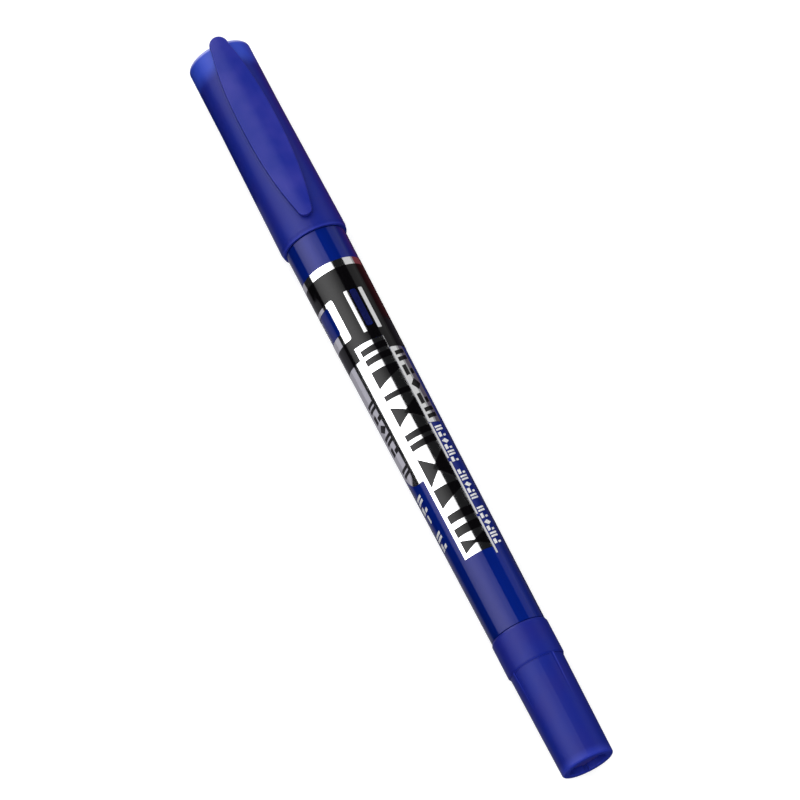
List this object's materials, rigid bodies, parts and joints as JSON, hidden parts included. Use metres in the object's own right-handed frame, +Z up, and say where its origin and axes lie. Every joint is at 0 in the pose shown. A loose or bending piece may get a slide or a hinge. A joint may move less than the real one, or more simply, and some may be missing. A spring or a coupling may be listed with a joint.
{
  "type": "calligraphy marker",
  "caption": "Calligraphy marker: tapered barrel with a chisel nib under a long clip cap and a fine nib under a short collared cap.",
  "frame": {"origin": "under the middle of the pen's length, on the surface that it lies on, clip upwards", "axes": "+X along the pen from the small cap to the clip cap, +Y across it, +Z up through the clip"},
  "size_m": [0.1406, 0.012, 0.0132],
  "materials": {
    "barrel_blue": "gloss moulded, deep blue",
    "cap_blue": "satin moulded, slightly translucent",
    "clip_blue": "satin moulded",
    "liner_plastic": "satin moulded",
    "section_plastic": "satin moulded",
    "sleeve_metal": "turned",
    "nib_felt": "sintered fibre, ink soaked",
    "fibre_core": "bundled fibre, ink soaked",
    "core_film": "thin clear film",
    "label_foil": "hot-stamped mirror foil",
    "label_black": "printed lacquer"
  },
  "bodies": {
    "barrel": {"barrel": "barrel_blue", "ink_core": "fibre_core", "ink_core_wrap": "core_film", "broad_section": "section_plastic", "broad_nib": "nib_felt", "fine_section": "section_plastic", "fine_nib_sleeve": "sleeve_metal", "fine_nib": "nib_felt"},
    "clip_cap": {"clip_cap_shell": "cap_blue", "clip_cap_liner": "liner_plastic"},
    "clip": {"pocket_clip": "clip_blue"},
    "small_cap": {"small_cap_shell": "cap_blue", "small_cap_liner": "liner_plastic"}
  },
  "joints": [
    {"name": "clip_cap_slide", "type": "slide", "parent": "barrel", "child": "clip_cap", "axis": [1, 0, 0], "range_m": [0, 0.04]},
    {"name": "small_cap_slide", "type": "slide", "parent": "barrel", "child": "small_cap", "axis": [-1, 0, 0], "range_m": [0, 0.028]},
    {"name": "clip_flex", "type": "hinge", "parent": "clip_cap", "child": "clip", "pos_m": [0.0683, 0, 0.01195], "axis": [0, 1, 0], "range_deg": [0, 4], "stiffness_Nm_per_rad": 0.5}
  ]
}
